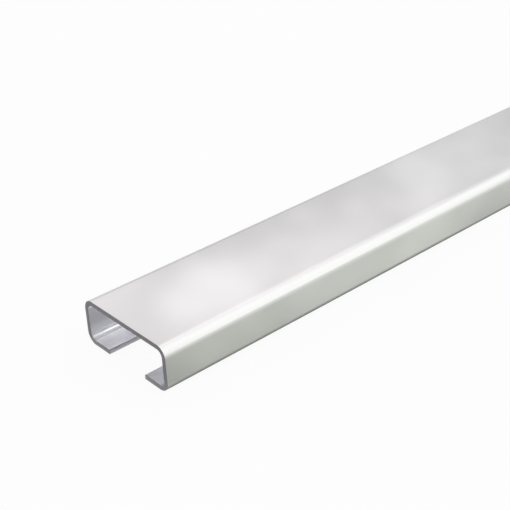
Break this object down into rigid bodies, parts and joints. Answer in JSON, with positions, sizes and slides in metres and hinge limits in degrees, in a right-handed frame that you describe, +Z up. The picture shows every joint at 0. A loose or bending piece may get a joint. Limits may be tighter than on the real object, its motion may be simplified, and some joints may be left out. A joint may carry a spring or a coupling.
{
  "type": "mounting rail",
  "caption": "Plain C-section mounting rail of galvanised steel strip, with a continuous slot between two inturned lips for sliding nuts and clamps.",
  "frame": {"origin": "middle of the rail's length and width, on the plane of the two lips' outer faces, which it lies on", "axes": "+X along the rail, +Y across it, +Z up from the slot to the back of the web"},
  "size_m": [1, 0.038, 0.015],
  "materials": {
    "galvanised_steel": "strip-galvanised, satin, with a soft cloudy sheen; cut ends darker"
  },
  "bodies": {
    "root": {"mounting_rail": "galvanised_steel"}
  },
  "joints": []
}
